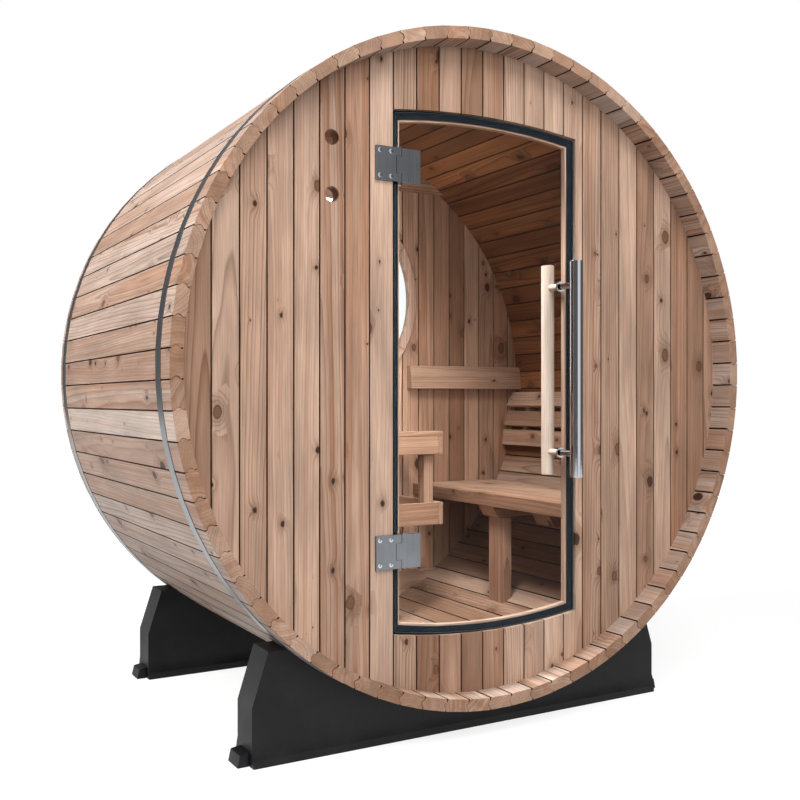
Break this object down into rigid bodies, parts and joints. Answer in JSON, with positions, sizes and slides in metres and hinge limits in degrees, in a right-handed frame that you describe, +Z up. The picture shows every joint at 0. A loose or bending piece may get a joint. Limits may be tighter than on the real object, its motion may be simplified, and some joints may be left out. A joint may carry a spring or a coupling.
{
  "type": "outdoor barrel sauna",
  "caption": "Short wooden barrel sauna on two black cradles, with steel hoops, an outward-opening glass door, side benches, a heater guard and a round rear window.",
  "frame": {"origin": "on the floor, midway along the overall length and on the barrel's centreline", "axes": "+X to the right seen from the door, +Y from the door towards the back wall, +Z up"},
  "size_m": [1.8318, 1.2009, 1.9059],
  "materials": {
    "stave_cedar": "planed cedar staves, knotty, untreated",
    "wall_cedar": "planed tongue-and-groove cedar boards, knotty, untreated",
    "bench_cedar": "sanded cedar boards, untreated",
    "trim_cedar": "sanded pale cedar",
    "handle_wood": "turned and sanded pale wood",
    "clear_glass": "clear tempered glass",
    "black_rubber": "matt black gasket",
    "brushed_stainless": "brushed stainless steel",
    "polished_chrome": "polished chrome",
    "black_painted_wood": "satin black paint on timber"
  },
  "bodies": {
    "root": {"back_wall_cleats": "bench_cedar", "back_wall_left": "wall_cedar", "back_wall_over_window": "wall_cedar", "back_wall_right": "wall_cedar", "back_wall_under_window": "wall_cedar", "backrest_slats": "bench_cedar", "backrest_supports": "bench_cedar", "bench_battens": "bench_cedar", "bench_front_boards": "bench_cedar", "bench_ledgers": "bench_cedar", "bench_left_seat": "bench_cedar", "bench_posts": "bench_cedar", "bench_right_seat": "bench_cedar", "cradle_feet": "black_painted_wood", "cradle_front": "black_painted_wood", "cradle_rear": "black_painted_wood", "door_seal": "black_rubber", "door_stop_ends": "trim_cedar", "door_stop_sides": "trim_cedar", "front_wall_cleats": "bench_cedar", "front_wall_left": "wall_cedar", "front_wall_over_door": "wall_cedar", "front_wall_right": "wall_cedar", "front_wall_under_door": "wall_cedar", "guard_cap": "bench_cedar", "guard_front_rails": "bench_cedar", "guard_posts": "bench_cedar", "guard_side_rails": "bench_cedar", "head_rails": "bench_cedar", "hinge_wall_leaves": "brushed_stainless", "hoop_front": "brushed_stainless", "hoop_rear": "brushed_stainless", "staves_bottom": "stave_cedar", "staves_left": "stave_cedar", "staves_lower_left": "stave_cedar", "staves_lower_right": "stave_cedar", "staves_right": "stave_cedar", "staves_top": "stave_cedar", "staves_upper_left": "stave_cedar", "staves_upper_right": "stave_cedar", "window_inner_ring": "trim_cedar", "window_outer_ring": "trim_cedar", "window_pane": "clear_glass"},
    "door": {"door_glass": "clear_glass", "hinge_glass_leaves": "brushed_stainless", "hinge_back_leaves": "brushed_stainless", "handle_outside": "polished_chrome", "handle_inside": "handle_wood"}
  },
  "joints": [
    {"name": "door_hinge", "type": "hinge", "parent": "root", "child": "door", "pos_m": [-0.2835, -0.5235, 0.99], "axis": [0, 0, -1], "range_deg": [0, 90]}
  ]
}
